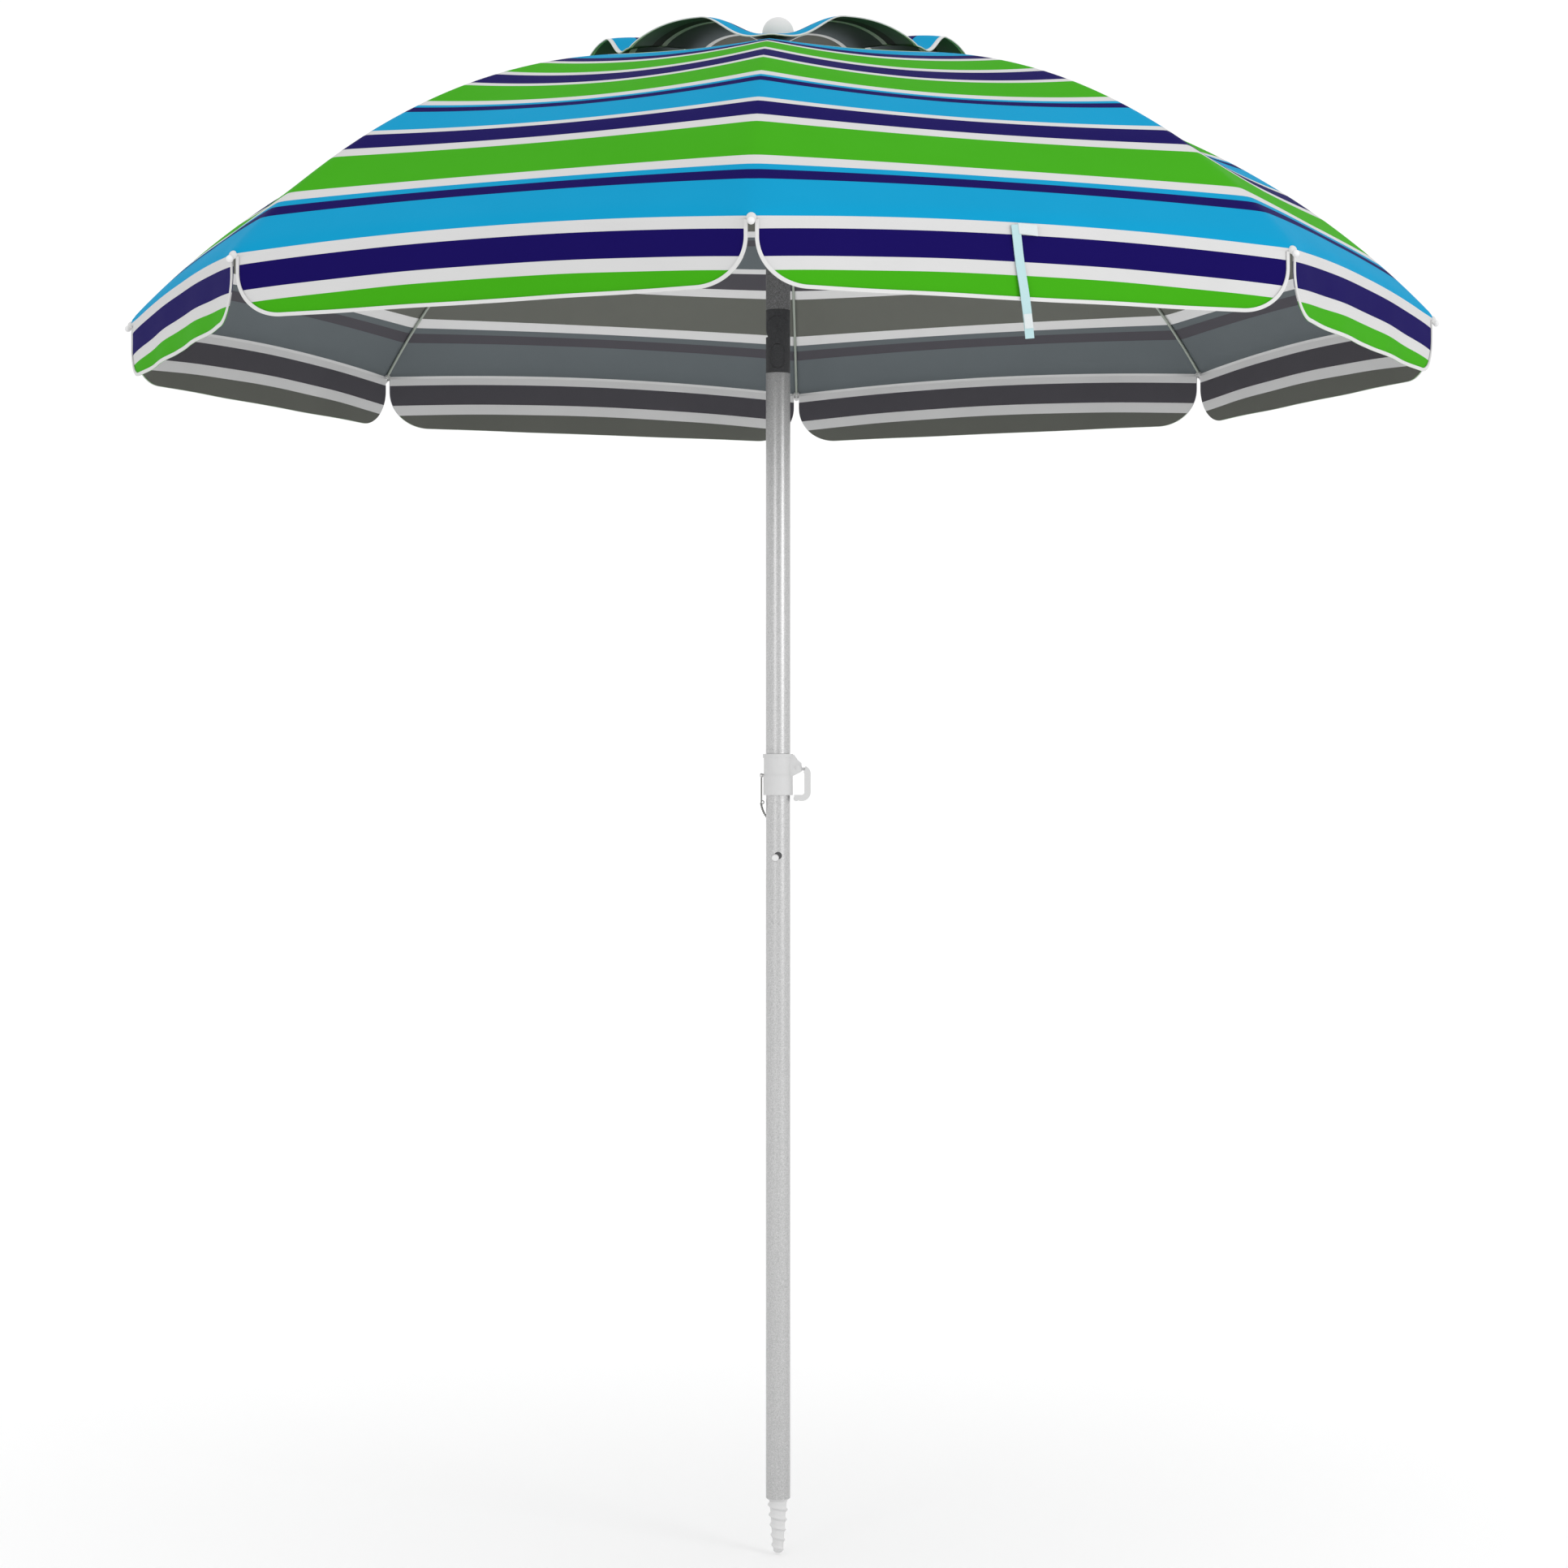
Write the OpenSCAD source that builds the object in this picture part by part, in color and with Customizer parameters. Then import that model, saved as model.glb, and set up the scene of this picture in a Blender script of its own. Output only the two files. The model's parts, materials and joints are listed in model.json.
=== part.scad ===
// Beach umbrella: an eight-rib vented shade on a telescopic pole with a tilt joint,
// a clamp collar and a screw spike. The origin is on the pole's axis at the lower
// tube's foot, +Z is up, and rib 1 points along -Y. Ribs are numbered round +Z.

/* [Pole] */
// Outer diameter of both tubes
pole_d = 32; // [31.5:0.1:32.5]
// Wall of the tubes
tube_wall = 1.2; // [1:0.1:1.4]
// Height of the lower tube's top end
lower_tube_top = 971; // [960:1:972]
// Height of the upper tube's top end, where the tilt joint begins
upper_tube_top = 1477; // [1470:1:1478]
// Length of the thinner insert that telescopes into the lower tube
insert_len = 417; // [400:1:430]
// Height of the snap button
snap_z = 841; // [835:1:850]
// Radius of the snap button
snap_r = 4.7; // [4:0.1:5]

/* [Spike] */
// Length of the screw spike below the tube
spike_len = 72; // [68:1:80]
// Radius of the spike's core at its top
spike_core_r = 11.6; // [10:0.1:12]
// Pitch of the spike's thread
spike_pitch = 13; // [11:0.5:15]

/* [Clamp collar] */
// Height of the collar's lower edge
collar_low = 923; // [920:1:926]
// Height of the collar's upper edge
collar_top = 977; // [976:1:978]
// Outer radius of the collar
collar_r = 18.7; // [18.5:0.1:19]
// Distance of the lever's pivot from the pole axis
lever_x = 26.2; // [26:0.1:26.5]
// Height of the lever's pivot
lever_z = 959.7; // [959:0.1:960]

/* [Tilt joint] */
// Height of the tilt pivot
tilt_z = 1535; // [1533:1:1536]
// Height where the knuckle ends and the mast begins
knuckle_top = 1560; // [1558:1:1565]
// Half thickness of the knuckle's tongue
tongue_y = 8.7; // [8:0.1:9]

/* [Frame] */
// Number of ribs
rib_count = 8; // [8:1:8]
// Diameter of a rib
rib_d = 4; // [3.8:0.1:4.2]
// Distance of the rib ends from the pole axis
canopy_r = 860; // [850:1:870]
// Height of the rib pivots at the hub
hub_z = 1868; // [1866:1:1870]
// Distance of every rib and stretcher pivot from the pole axis
pivot_r = 24; // [23.8:0.1:24.2]
// Distance from the axis at which a rib starts to bend
bend_r = 110; // [100:1:120]
// Radius of a rib's bend
arc_r = 1020; // [1010:1:1030]
// Distance from the axis of the stretcher clip on a rib
clip_r = 446; // [440:1:450]
// Drop of the stretcher's rivet below the rib
clip_drop = 9; // [8.5:0.1:9.5]

/* [Shade] */
// Thickness of the cloth solids
cloth = 1.5; // [1.2:0.1:2]
// Distance from the axis of the opening under the vent cap
opening_r = 150; // [140:1:160]
// Distance from the axis of the vent cap's rim
vent_r = 258; // [250:1:265]
// Rise of the vent cap's rim between two ribs
vent_lift = 29; // [20:1:32]
// Depth of the valance
valance_h = 73; // [70:1:78]
// Height of the finial's top
finial_top = 1945; // [1940:1:1950]

/* [Hidden] */
$fn = 48;
pole_r = pole_d / 2;
bore_r = pole_r - tube_wall;
insert_r = bore_r - 0.1;
half_a = 180 / rib_count;
arc_cz = hub_z - arc_r;
run = 0.1;          // running clearance in the small pivots
seam_gap = 0.15;    // half the gap between neighbouring gores
wire_r = 1;         // ring wires of the hub and the runner
eye_r = 3.4;        // eyes at the ends of ribs and stretchers
eye_t = 3.2;
rivet_r = 1.5;
clip_a = asin((clip_r - bend_r) / arc_r);
tip_a = asin((canopy_r - bend_r) / arc_r);
joint_x = clip_r - clip_drop * sin(clip_a);
joint_z = arc_cz + arc_r * cos(clip_a) - clip_drop * cos(clip_a);
runner_z = 2 * joint_z - hub_z;     // the hub and runner pivots mirror each other
tip_z = arc_cz + arc_r * cos(tip_a);
cloth_in = rib_d / 2 + 0.9;         // cloth's inner face above a rib's centre line
rim_m = canopy_r * cos(half_a);     // distance of the straight rim from the axis

// ---- placing helpers ----

// Turns +X to the direction of rib k
module at_rib(k) rotate([0, 0, (k - 1) * 360 / rib_count - 90]) children();

// A round bar along +X from x0 to x1 at height z
module bar_x(x0, x1, z, r) translate([x0, 0, z]) rotate([0, 90, 0]) cylinder(r = r, h = x1 - x0);

// A round bar along Y, centred at (x, z)
module bar_y(x, z, r, len) translate([x, 0, z]) rotate([90, 0, 0]) cylinder(r = r, h = len, center = true);

// A flat outline in X and Z, made len thick along Y
module slab(len) rotate([90, 0, 0]) linear_extrude(len, center = true) children();

module tube(r_out, r_in, z0, z1) translate([0, 0, z0]) difference() {
    cylinder(r = r_out, h = z1 - z0);
    translate([0, 0, -1]) cylinder(r = r_in, h = z1 - z0 + 2);
}

module torus(ring_r, wire, z) translate([0, 0, z]) rotate_extrude() translate([ring_r, 0]) circle(wire, $fn = 20);

// ---- lower pole ----

snap_x = -3.2;      // the button sits a little off the pole's centre line
snap_slack = 3.8;   // the hole in the lower tube is drawn out to one side by this much
pin_z = 949;
pin_r = 2;
pin_tip_x = -14.85;

module snap_hole(r) {
    for (s = [0, 1])
        translate([snap_x + s * snap_slack, -pole_r, snap_z + s * 2.8])
            rotate([90, 0, 0]) cylinder(r = r, h = pole_r, center = true);
}

grip_top = 825;     // a base or holder grips the lower tube from its foot up to here
draw_in = 0.2;      // above that the tube is this much smaller, under the button and the collar

module lower_tube() color("silver") difference() {
    union() {
        tube(pole_r, bore_r, 0, grip_top);
        tube(pole_r - draw_in, bore_r, grip_top - 1, lower_tube_top);
    }
    snap_hole(snap_r + 0.25);
    bar_x(-pole_r - 2, -bore_r + 2, pin_z, pin_r + run);
}

flights = 5;
flight_drop = 3.5;  // a flight sinks by this much from its middle to either side

// Core radius at depth d below the tube
function spike_r(d) = spike_core_r - (spike_core_r - 6.4) * d / spike_len;

// One turn of the thread: a tilted ring, lower on its +X side
module flight(i) {
    d = 12.8 + spike_pitch * i;
    r = spike_r(d);
    crest = r + 2.8 - 0.24 * i;
    translate([0, 0, -d]) rotate([0, atan(flight_drop / r), 0]) rotate_extrude()
        polygon([[1, -3], [r - 1, -3], [crest, -0.8], [crest, 0.8], [r - 1, 3], [1, 3]]);
}

module ground_spike() color("gainsboro") {
    translate([0, 0, -spike_len]) rotate_extrude() polygon([
        [0, 0], [4.6, 0], [6.4, 3], [spike_core_r, spike_len - 4], [14.4, spike_len - 3],
        [14.4, spike_len - 0.2], [bore_r, spike_len - 0.2], [bore_r, spike_len + 36], [0, spike_len + 36]]);
    for (i = [0:flights - 1]) flight(i);
}

// ---- clamp collar ----

ear_in = 4.3;
ear_out = 9;

module ear_outline() polygon([[14, 976], [21, 976], [25.7, 969], [30.6, 965], [30.6, 954], [19, 948], [14, 948]]);

module collar() color("gainsboro") difference() {
    union() {
        translate([0, 0, collar_low]) cylinder(r = collar_r, h = collar_top - collar_low);
        translate([0, 0, collar_top - 5]) cylinder(r = collar_r + 1.2, h = 5);
        translate([0, 0, collar_low]) cylinder(r = collar_r + 0.6, h = 26);
        slab(2 * ear_out) ear_outline();
    }
    translate([0, 0, collar_low - 1]) cylinder(r = pole_r - draw_in, h = lower_tube_top - collar_low + 1);
    translate([0, 0, lower_tube_top - 1]) cylinder(r = bore_r, h = 10);
    translate([collar_r + 0.8, -ear_in, 940]) cube([20, 2 * ear_in, 50]);
    translate([14, -0.8, collar_low - 1]) cube([6, 1.6, 40]);
    bar_y(lever_x, lever_z, 2 + run, 40);
    bar_x(-collar_r - 5, -pole_r + 2, pin_z, pin_r + run);
}

module lever_pin() color("gainsboro") {
    bar_y(lever_x, lever_z, 2, 2 * ear_out + 2.4);
    for (s = [-1, 1]) translate([0, s * (ear_out + 0.8), 0]) bar_y(lever_x, lever_z, 3, 1.2);
}

lever_w = 13;
arm_in = 34.7;
arm_out = 42.8;
bend_cx = 31;
bend_top = 950.5;
bend_low = 927;
neck_r = 9.8;       // the wide arm keeps this far from the pin, to swing past the ears
neck_w = 2 * ear_in - 0.8;

module lever_arm() {
    difference() {
        union() {
            translate([bend_cx, bend_top]) circle(arm_out - bend_cx);
            translate([bend_cx, bend_low]) circle(arm_out - bend_cx);
            translate([bend_cx, bend_low]) square([arm_out - bend_cx, bend_top - bend_low]);
        }
        translate([bend_cx - 20, bend_low]) square([20, 60]);
        translate([bend_cx, bend_top]) circle(arm_in - bend_cx);
        translate([bend_cx, bend_low]) circle(arm_in - bend_cx);
        translate([bend_cx - 1, bend_low]) square([arm_in - bend_cx + 1, bend_top - bend_low]);
        translate([bend_cx - 20, bend_low - 3.7]) square([20, 20]);
        translate([bend_cx - 26.8, bend_low - 20]) square([17, 30]);
    }
    translate([24, 918.6]) circle(3.6);
}

module clamp_lever() color("gainsboro") difference() {
    union() {
        difference() {
            slab(lever_w) lever_arm();
            bar_y(lever_x, lever_z, neck_r, 20);
        }
        bar_y(lever_x, lever_z, 5, neck_w);
        translate([lever_x + 1, -neck_w / 2, lever_z - 4.4]) cube([neck_r, neck_w, 4]);
    }
    bar_y(lever_x, lever_z, 2 + run, 40);
}

// ---- locking pin and its chain ----

module locking_pin() color("silver") {
    bar_x(-21.6, pin_tip_x, pin_z, pin_r);
    translate([-21.6, 0, pin_z]) sphere(2.7);
}

chain_r = 19;
chain_beads = 15;

// Centre of chain bead i: down from the pin's ring and round the back of the tube
function bead_at(i) = let (a = 180 - 6.3 * i) [chain_r * cos(a), chain_r * sin(a), 912.4 - 2.1 * i];

// A short bar that starts at p and points away from it along d
module along(p, d, r, h) translate(p) rotate([0, acos(d[2] / norm(d)), atan2(d[1], d[0])]) cylinder(r = r, h = h, $fn = 24);

module pin_chain() color("silver") {
    // the wire that hangs from the pin's head
    translate([-chain_r - 2.9, 0, 913]) cylinder(r = 0.7, h = 33);
    bar_x(-chain_r - 3.5, -chain_r, 913.4, 1);
    for (i = [0:chain_beads - 1]) let (p = bead_at(i), d = bead_at(i + 1) - p) {
        along(p - d * 0.36, d, 1.3, norm(d) * 0.72);
        along(p, d, 0.5, norm(d));
    }
    // the rivet that holds the chain's far end on the back of the tube
    translate(bead_at(chain_beads)) rotate([90, 0, 0]) cylinder(r = 2.2, h = 3.2, center = true);
}

// ---- upper pole ----

module upper_tube() color("silver") tube(pole_r, bore_r, collar_top + 0.3, upper_tube_top);

module insert_tube() color("lightgray") difference() {
    tube(insert_r, insert_r - tube_wall, collar_top + 0.3 + 30 - insert_len, collar_top + 30.3);
    translate([snap_x, -insert_r, snap_z]) rotate([90, 0, 0]) cylinder(r = snap_r + 0.2, h = insert_r, center = true);
}

module snap_button() color("whitesmoke") {
    translate([snap_x, -9.8, snap_z]) rotate([90, 0, 0]) cylinder(r = snap_r, h = 6.6);
    translate([snap_x, -16.4, snap_z]) rotate([90, 0, 0]) cylinder(r1 = snap_r, r2 = snap_r - 1, h = 1.2);
    // the folded leaf spring behind the button
    translate([snap_x - 3, -9.8, snap_z - 5]) cube([6, 0.8, 40]);
    translate([snap_x - 3, -9.2, snap_z + 34]) rotate([-26, 0, 0]) cube([6, 0.8, 12]);
}

socket_floor = 16.3;    // radius of the hollow that the knuckle's tongue turns in
button_z = 1498.5;

// The button's outline seen from the front: an upright stadium
module stadium(r, h) {
    square([2 * r, h], center = true);
    for (s = [-1, 1]) translate([0, s * h / 2]) circle(r);
}

module tilt_socket() color("dimgray") difference() {
    union() {
        translate([0, 0, upper_tube_top + 0.2]) cylinder(r = pole_r, h = tilt_z - upper_tube_top - 0.2);
        translate([0, 0, upper_tube_top - 36]) cylinder(r = bore_r, h = 40);
        intersection() {
            bar_y(0, tilt_z, pole_r, 40);
            translate([0, 0, tilt_z - 20]) cylinder(r = pole_r, h = 50);
        }
    }
    bar_y(0, tilt_z, socket_floor, 2 * tongue_y + 0.6);
    translate([-20, -tongue_y - 0.3, tilt_z]) cube([40, 2 * tongue_y + 0.6, 40]);
    bar_y(0, tilt_z, 3 + run, 50);
    translate([0, -7.2, button_z]) rotate([90, 0, 0]) linear_extrude(12) stadium(9, 14);
    // relief for the knuckle's shoulder at full tilt
    translate([-pole_r - 2, -tongue_y - 0.3, tilt_z - 11]) cube([5, 2 * tongue_y + 0.6, 12]);
    translate([0, -4, button_z]) rotate([90, 0, 0]) cylinder(r = 4.6, h = 8);
}

module tilt_pivot() color("gray") bar_y(0, tilt_z, 3, 2 * pole_r - 1.2);

module tilt_button() color("dimgray") intersection() {
    translate([0, -9.9, button_z]) rotate([90, 0, 0]) linear_extrude(12) stadium(8.8, 13.6);
    translate([0, 0, button_z - 30]) cylinder(r = pole_r + 0.2, h = 60);
}

spring_steps = 16;
spring_turns = 3;

// One ring of the spring's wire, a square section that winds round Y
function spring_ring(i) = let (a = 360 * i / spring_steps, y = -9.2 + 4.6 * i / (spring_steps * spring_turns))
    [for (p = [[-0.4, -0.4], [0.4, -0.4], [0.4, 0.4], [-0.4, 0.4]])
        [(3.4 + p[0]) * cos(a), y + p[1], button_z + (3.4 + p[0]) * sin(a)]];

module tilt_spring() color("silver") {
    n = spring_steps * spring_turns;
    points = [for (i = [0:n]) each spring_ring(i)];
    sides = [for (i = [0:n - 1]) for (j = [0:3]) let (m = (j + 1) % 4)
        [4 * i + j, 4 * i + m, 4 * (i + 1) + m, 4 * (i + 1) + j]];
    polyhedron(points, concat(sides, [[3, 2, 1, 0], [4 * n, 4 * n + 1, 4 * n + 2, 4 * n + 3]]));
}

module tilt_knuckle() color("dimgray") difference() {
    union() {
        translate([0, 0, tilt_z]) cylinder(r = pole_r, h = knuckle_top - tilt_z);
        translate([0, 0, knuckle_top - 2]) cylinder(r = bore_r, h = 38);
        intersection() {
            bar_y(0, tilt_z, pole_r, 2 * tongue_y);
            translate([0, 0, tilt_z - 20]) cylinder(r = pole_r, h = 30);
        }
    }
    for (s = [-1, 1]) translate([0, s * (tongue_y + 10), 0]) bar_y(0, tilt_z, socket_floor, 20);
    bar_y(0, tilt_z, 3 + run, 50);
}

// ---- mast, hub and finial ----

catch_slot = [1671, 1692];

module mast_tube() color("dimgray") difference() {
    tube(pole_r, bore_r, knuckle_top + 0.2, hub_z + 4);
    translate([-2.4, -20, catch_slot[0] - 9]) cube([4.8, 12, catch_slot[1] - catch_slot[0] + 10]);
}

crown_r = 30;
slot_in = 20.4;
slot_w = 4.8;

// Radial slots that hold the eyes of the ribs or stretchers
module slots(z0, z1) for (k = [1:rib_count]) at_rib(k) translate([slot_in, -slot_w / 2, z0]) cube([20, slot_w, z1 - z0]);

module hub() color("dimgray") difference() {
    union() {
        translate([0, 0, hub_z - 16]) cylinder(r = crown_r - 3, h = 10);
        translate([0, 0, hub_z - 6]) cylinder(r = crown_r, h = 18);
    }
    translate([0, 0, hub_z - 20]) cylinder(r = pole_r, h = 24);
    slots(hub_z - 20, hub_z + 4.6);
    torus(pivot_r, wire_r, hub_z);
    translate([0, 0, hub_z]) cylinder(r = 7, h = 20);
}

module hub_wire() color("silver") torus(pivot_r, wire_r, hub_z);

module finial() color("gainsboro") {
    translate([0, 0, hub_z + 2]) cylinder(r = 7, h = 20);
    translate([0, 0, finial_top - 20.8]) intersection() {
        sphere(20.8, $fn = 64);
        translate([0, 0, 25]) cube(50, center = true);
    }
    translate([0, 0, hub_z + 19]) cylinder(r1 = 17.5, r2 = 20.8, h = finial_top - 20.8 - hub_z - 19);
}

// ---- runner and its catch ----

runner_bore = pole_r + 0.6;
runner_low = 48;

module runner() color("dimgray") difference() {
    union() {
        translate([0, 0, runner_z - 7]) cylinder(r = crown_r, h = 16);
        translate([0, 0, runner_z - runner_low]) cylinder(r = runner_bore + 3.2, h = runner_low);
        translate([0, 0, runner_z - runner_low]) cylinder(r = runner_bore + 7, h = 5);
        translate([0, 0, runner_z - 18]) cylinder(r1 = runner_bore + 3.2, r2 = crown_r, h = 11);
    }
    translate([0, 0, runner_z - 60]) cylinder(r = runner_bore, h = 90);
    slots(runner_z - 4.6, runner_z + 20);
    torus(pivot_r, wire_r, runner_z);
}

module runner_wire() color("silver") torus(pivot_r, wire_r, runner_z);

module runner_catch() color("silver") {
    rotate([0, 0, -90]) slab(4) polygon([[11, catch_slot[0] - 8], [13, catch_slot[0] - 8],
        [19.4, catch_slot[0] + 15], [12.4, catch_slot[0] + 17.6], [11, catch_slot[0] + 17.6]]);
    translate([-2, -12.2, 1630]) cube([4, 1.4, 60]);
}

// ---- ribs and stretchers ----

module rib_bend() translate([bend_r, 0, arc_cz]) rotate([90, 0, 0]) rotate([0, 0, 90 - tip_a])
    rotate_extrude(angle = tip_a) translate([arc_r, 0]) circle(d = rib_d, $fn = 24);

// Places children at the clip, with +X along the rib towards its tip and +Z outwards
module at_clip() translate([clip_r, 0, arc_cz + arc_r * cos(clip_a)]) rotate([0, clip_a, 0]) children();

module rib(k) color("darkseagreen") at_rib(k) {
    difference() {
        union() {
            bar_y(pivot_r, hub_z, eye_r, eye_t);
            translate([pivot_r, -eye_t / 2, hub_z - 2.3]) cube([9, eye_t, 4.6]);
        }
        bar_y(pivot_r, hub_z, wire_r + run, 10);
    }
    bar_x(pivot_r + 7, bend_r + 1, hub_z, rib_d / 2 + 0.15);
    rib_bend();
    at_clip() {
        difference() {
            translate([-7, 0, 0]) rotate([0, 90, 0]) cylinder(r = 3.4, h = 14);
            translate([-10, -5, 1.2]) cube([20, 10, 5]);    // the clip's back stays under the cloth
        }
        for (s = [-1, 1]) translate([-4, s * 2.7 - 0.8, -clip_drop]) cube([8, 1.6, clip_drop - 2.3]);
        for (s = [-1, 1]) translate([0, s * 2.7, 0]) bar_y(0, -clip_drop, 4, 1.6);
        bar_y(0, -clip_drop, rivet_r, 7.2);
    }
}

// The ball and socket that hold the cloth's corner on a rib's end
module rib_tip(k) color("whitesmoke") at_rib(k)
    translate([canopy_r, 0, tip_z]) rotate([0, tip_a, 0]) difference() {
        union() {
            sphere(4.2);
            translate([-15, 0, 0]) rotate([0, 90, 0]) cylinder(r1 = 2.9, r2 = 3.4, h = 14);
        }
        translate([-20, 0, 0]) rotate([0, 90, 0]) cylinder(d = rib_d, h = 20);
    }

module stretcher(k) {
    dx = joint_x - pivot_r;
    dz = joint_z - runner_z;
    len = sqrt(dx * dx + dz * dz);
    color("darkseagreen") at_rib(k) translate([pivot_r, 0, runner_z]) rotate([0, -atan2(dz, dx), 0])
        difference() {
            union() {
                for (x = [0, len]) bar_y(x, 0, eye_r, eye_t);
                translate([0, -eye_t / 2, -2]) cube([len, eye_t, 4]);
                bar_x(10, len - 10, 0, 2.3);
            }
            bar_y(0, 0, wire_r + run, 10);
            bar_y(len, 0, rivet_r + run, 10);
        }
}

// ---- shade ----

arc_steps = 14;

// A point of the cloth's profile in a panel's middle plane: its distance from the
// axis and its height, at angle a of the ribs' bend, off outside the rib's centre
function profile_at(a, off) = [(bend_r + (arc_r + off) * sin(a)) * cos(half_a), arc_cz + (arc_r + off) * cos(a)];

opening_a = asin((opening_r - bend_r) / arc_r);

module panel_profile() polygon(concat(
    [for (i = [0:arc_steps]) profile_at(opening_a + (tip_a - opening_a) * i / arc_steps, cloth_in + cloth)],
    [for (i = [arc_steps:-1:0]) profile_at(opening_a + (tip_a - opening_a) * i / arc_steps, cloth_in)]));

// Half of a panel, from the rib plane to the panel's middle; side is 1 or -1
module half_panel(side) rotate([0, 0, side * half_a]) intersection() {
    rotate([90, 0, 0]) linear_extrude(800, center = true) panel_profile();
    translate([0, 0, 1400]) linear_extrude(600)
        polygon([[0, -side * seam_gap], [900, -side * seam_gap], [900, -side * 900 * tan(half_a)]]);
}

corner_in = 60;     // radius of a flap's rounded lower corner
notch = 5.5;        // distance of a flap's edge from the rib at the rim

// Half of a flap of the valance, flat, from its middle line (0) towards the rib
module half_flap() {
    edge = rim_m * tan(half_a);
    difference() {
        translate([seam_gap, -valance_h]) square([edge - notch - seam_gap, valance_h]);
        difference() {
            translate([edge - notch - corner_in, -valance_h - 1]) square([corner_in + 1, corner_in + 1]);
            translate([edge - notch - corner_in, corner_in - valance_h]) circle(corner_in);
        }
    }
}

module valance(side) rotate([0, 0, side * half_a])
    translate([rim_m - 0.4, 0, tip_z + cloth_in]) rotate([90, 0, 90]) linear_extrude(cloth)
        mirror([side > 0 ? 1 : 0, 0]) half_flap();

vent_rows = 4;
vent_cols = 4;
vent_in = 12;

// Height of the vent cap at share t of its radius and share u from a rib to a panel's middle
function vent_z(t, u) = hub_z + 13 - 15 * t * t + vent_lift * pow(t, 1.5) * pow(sin(90 * u), 2);

function vent_point(i, j, side, lift) = let (
    t = i / vent_rows, u = j / vent_cols,
    a = side * (half_a * u - (u == 1 ? 0.04 + 0.5 * (1 - t) : 0)),
    r = (vent_in + (vent_r - vent_in) * t) * cos(half_a) / cos(half_a * (1 - u))
) [r * cos(a), r * sin(a), vent_z(t, u) + lift];

module half_vent(side) {
    n = vent_cols + 1;
    m = (vent_rows + 1) * n;
    top = [for (i = [0:vent_rows]) for (j = [0:vent_cols]) vent_point(i, j, side, cloth)];
    low = [for (i = [0:vent_rows]) for (j = [0:vent_cols]) vent_point(i, j, side, 0)];
    cells = [for (i = [0:vent_rows - 1]) for (j = [0:vent_cols - 1]) i * n + j];
    border = concat(
        [for (j = [0:vent_cols - 1]) [j, j + 1]],
        [for (i = [0:vent_rows - 1]) [i * n + vent_cols, (i + 1) * n + vent_cols]],
        [for (j = [vent_cols:-1:1]) [vent_rows * n + j, vent_rows * n + j - 1]],
        [for (i = [vent_rows:-1:1]) [i * n, (i - 1) * n]]);
    up = concat([for (c = cells) [c, c + 1, c + n + 1]], [for (c = cells) [c, c + n + 1, c + n]]);
    down = [for (f = up) [m + f[2], m + f[1], m + f[0]]];
    walls = [for (e = border) [e[1], e[0], m + e[0], m + e[1]]];
    faces = concat(up, down, walls);
    polyhedron(concat(top, low), side > 0 ? faces : [for (f = faces) [for (i = [len(f) - 1:-1:0]) f[i]]]);
}

module canopy_gore(k) color(k % 2 == 0 ? "deepskyblue" : "limegreen") at_rib(k) {
    for (side = [-1, 1]) {
        half_panel(side);
        valance(side);
        half_vent(side);
    }
}

// The closing strap, sewn at the rim between ribs 1 and 2
strap_w = 10.6;
strap_len = 125;

module tie_strap() color("lightcyan") at_rib(1) rotate([0, 0, half_a])
    translate([rim_m + 3.8, -18, tip_z + 14]) rotate([7, 0, 0])
        translate([0, -strap_w / 2, -strap_len]) cube([cloth, strap_w, strap_len]);

// ---- nodes ----

lower_tube();
ground_spike();
collar();
lever_pin();
clamp_lever();
locking_pin();
pin_chain();
upper_tube();
insert_tube();
snap_button();
tilt_socket();
tilt_pivot();
tilt_button();
tilt_spring();
tilt_knuckle();
mast_tube();
hub();
hub_wire();
finial();
runner();
runner_wire();
runner_catch();
tie_strap();
for (k = [1:rib_count]) {
    rib(k);
    rib_tip(k);
    stretcher(k);
    canopy_gore(k);
}
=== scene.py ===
# %% [markdown]
# # A striped beach umbrella
# The frame is the object as it was designed and moved: poles, joint, hub, ribs, stretchers and simple solids
# for the cloth. Here the cloth becomes sheets with sag and stripes, the screw spike gets its real thread, the
# chain its beads, and every part its finish. The origin is on the pole's axis at the lower tube's foot, +Z is
# up, and rib 1 points along -Y, towards the front. Lengths below are in millimetres until they become a mesh.

import json
import math

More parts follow.
